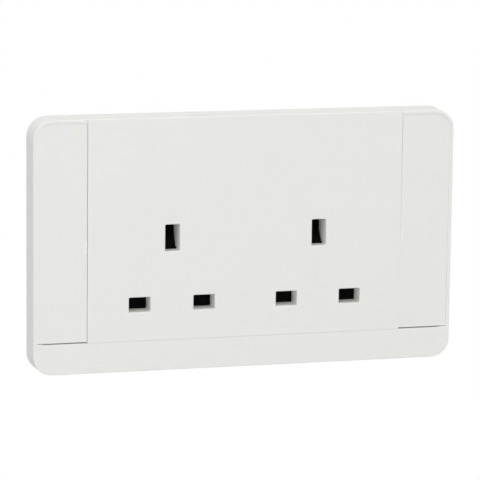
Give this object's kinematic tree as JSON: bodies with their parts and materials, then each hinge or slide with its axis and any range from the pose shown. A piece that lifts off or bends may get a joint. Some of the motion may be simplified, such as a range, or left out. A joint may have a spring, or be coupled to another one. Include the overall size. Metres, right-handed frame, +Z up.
{
  "type": "uk twin socket",
  "caption": "White wall plate of a British twin socket outlet, with shuttered pin apertures, press panels at its ends, and a rear housing of brass contacts and terminals.",
  "frame": {"origin": "middle of the two wall-screw holes, in the plane of the wall", "axes": "+X to the right as seen from the front, +Y into the wall, +Z up; the front face looks along -Y"},
  "size_m": [0.146, 0.0294, 0.086],
  "materials": {
    "white_moulding": "smooth white urea moulding with a soft sheen",
    "housing_moulding": "off-white moulding, fine matt texture",
    "guide_moulding": "black moulding, matt",
    "shutter_moulding": "black moulding, smooth",
    "switch_moulding": "pale grey moulding, low sheen",
    "brass": "rolled brass, bare",
    "plated_steel": "zinc-plated steel",
    "spring_steel": "bright drawn wire",
    "contact_silver": "brass bar with a silvery contact tip",
    "clear_lens": "frosted clear plastic",
    "circuit_board": "green glass-fibre board",
    "lamp_body": "white lamp package"
  },
  "bodies": {
    "plate": {"surround_frame": "white_moulding", "centre_cover": "white_moulding", "rear_housing": "housing_moulding", "guide_plate": "guide_moulding", "neutral_strip": "brass", "earth_strip": "brass", "live_bus": "brass", "neutral_terminal": "brass", "live_terminal": "brass", "earth_terminals": "brass", "clamp_screws": "plated_steel", "housing_screws": "plated_steel", "shutter_spring_left": "spring_steel", "live_link_left": "brass", "indicator_board_left": "circuit_board", "indicator_lamp_left": "lamp_body", "plunger_spring_left": "spring_steel", "shutter_spring_right": "spring_steel", "live_link_right": "brass", "indicator_board_right": "circuit_board", "indicator_lamp_right": "lamp_body", "plunger_spring_right": "spring_steel"},
    "panel_left": {"press_panel_left": "white_moulding", "indicator_lens_left": "clear_lens"},
    "plunger_left": {"plunger_left": "switch_moulding"},
    "shutter_left": {"shutter_left": "shutter_moulding"},
    "switch_left": {"seesaw_left": "switch_moulding", "moving_contact_left": "contact_silver"},
    "panel_right": {"press_panel_right": "white_moulding", "indicator_lens_right": "clear_lens"},
    "plunger_right": {"plunger_right": "switch_moulding"},
    "shutter_right": {"shutter_right": "shutter_moulding"},
    "switch_right": {"seesaw_right": "switch_moulding", "moving_contact_right": "contact_silver"}
  },
  "joints": [
    {"name": "panel_left", "type": "hinge", "parent": "plate", "child": "panel_left", "pos_m": [0, -0.0052, 0.0385], "axis": [1, 0, 0], "range_deg": [0, 1.75], "stiffness_Nm_per_rad": 1.9, "springref_deg": -3.44},
    {"name": "plunger_left", "type": "slide", "parent": "plate", "child": "plunger_left", "axis": [0, 1, 0], "range_m": [0, 0.0018], "deforming": ["plunger_spring_left"]},
    {"name": "shutter_left", "type": "slide", "parent": "plate", "child": "shutter_left", "axis": [0, 0, -1], "range_m": [0, 0.0086], "stiffness_N_per_m": 100, "springref_m": -0.005, "deforming": ["shutter_spring_left"]},
    {"name": "switch_left", "type": "hinge", "parent": "plate", "child": "switch_left", "pos_m": [0, 0.0072, -0.02], "axis": [-1, 0, 0], "range_deg": [0, 22]},
    {"name": "panel_right", "type": "hinge", "parent": "plate", "child": "panel_right", "pos_m": [0, -0.0052, 0.0385], "axis": [1, 0, 0], "range_deg": [0, 1.75], "stiffness_Nm_per_rad": 1.9, "springref_deg": -3.44},
    {"name": "plunger_right", "type": "slide", "parent": "plate", "child": "plunger_right", "axis": [0, 1, 0], "range_m": [0, 0.0018], "deforming": ["plunger_spring_right"]},
    {"name": "shutter_right", "type": "slide", "parent": "plate", "child": "shutter_right", "axis": [0, 0, -1], "range_m": [0, 0.0086], "stiffness_N_per_m": 100, "springref_m": -0.005, "deforming": ["shutter_spring_right"]},
    {"name": "switch_right", "type": "hinge", "parent": "plate", "child": "switch_right", "pos_m": [0, 0.0072, -0.02], "axis": [-1, 0, 0], "range_deg": [0, 22]}
  ],
  "couplings": [
    {"joint": "plunger_left", "follows": "panel_left", "m_per_rad": 0.0585},
    {"joint": "plunger_right", "follows": "panel_right", "m_per_rad": 0.0585}
  ]
}
